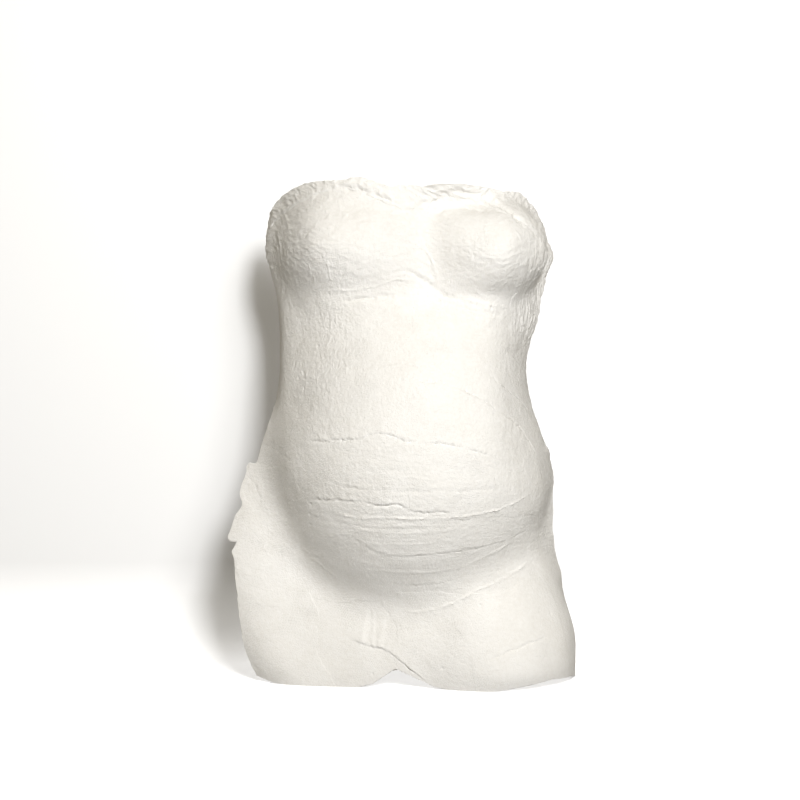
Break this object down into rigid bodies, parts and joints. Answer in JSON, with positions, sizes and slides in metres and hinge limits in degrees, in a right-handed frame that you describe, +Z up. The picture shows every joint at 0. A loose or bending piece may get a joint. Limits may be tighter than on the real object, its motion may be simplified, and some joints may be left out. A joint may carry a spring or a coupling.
{
  "type": "plaster torso mould",
  "caption": "Free-standing open shell cast from the front of a torso, laid up from overlapping strips of plaster bandage.",
  "frame": {"origin": "middle of the object's box at the level of the table it stands on", "axes": "+Z up along the torso, -Y towards the side the belly faces, +Y out of the open back, +X to the right of someone who faces the front"},
  "size_m": [0.3688, 0.1755, 0.5212],
  "materials": {
    "plaster_outer": "matt, slightly rough plaster over gauze",
    "plaster_inner": "matt, gauze weave showing",
    "plaster_fold": "matt, crumpled gauze set in plaster"
  },
  "bodies": {
    "root": {"inner_left_thigh": "plaster_inner", "inner_groin": "plaster_inner", "inner_right_thigh": "plaster_inner", "inner_right_thigh_side": "plaster_inner", "inner_left_hip": "plaster_inner", "inner_lower_belly": "plaster_inner", "inner_right_hip": "plaster_inner", "inner_left_waist": "plaster_inner", "inner_belly": "plaster_inner", "inner_right_waist": "plaster_inner", "inner_left_chest": "plaster_inner", "inner_middle_chest": "plaster_inner", "inner_right_chest": "plaster_inner", "left_thigh_side_strip": "plaster_outer", "left_thigh_front_strip": "plaster_outer", "groin_strip": "plaster_outer", "right_thigh_front_strip": "plaster_outer", "right_thigh_side_strip": "plaster_outer", "left_hip_strip": "plaster_outer", "right_hip_lower_strip": "plaster_outer", "under_belly_left_strip": "plaster_outer", "under_belly_right_strip": "plaster_outer", "left_hip_flap": "plaster_outer", "right_hip_upper_strip": "plaster_outer", "belly_band_left": "plaster_outer", "belly_band_right": "plaster_outer", "left_flank_strip": "plaster_outer", "left_waist_strip": "plaster_outer", "middle_belly_left_strip": "plaster_outer", "middle_belly_right_strip": "plaster_outer", "right_waist_strip": "plaster_outer", "upper_belly_left_strip": "plaster_outer", "upper_belly_right_strip": "plaster_outer", "left_chest_strip": "plaster_outer", "left_breast_strip": "plaster_outer", "breastbone_strip": "plaster_outer", "right_breast_strip": "plaster_outer", "right_chest_strip": "plaster_outer", "top_fold_left": "plaster_fold", "top_fold_middle": "plaster_fold", "top_fold_right": "plaster_fold"}
  },
  "joints": []
}
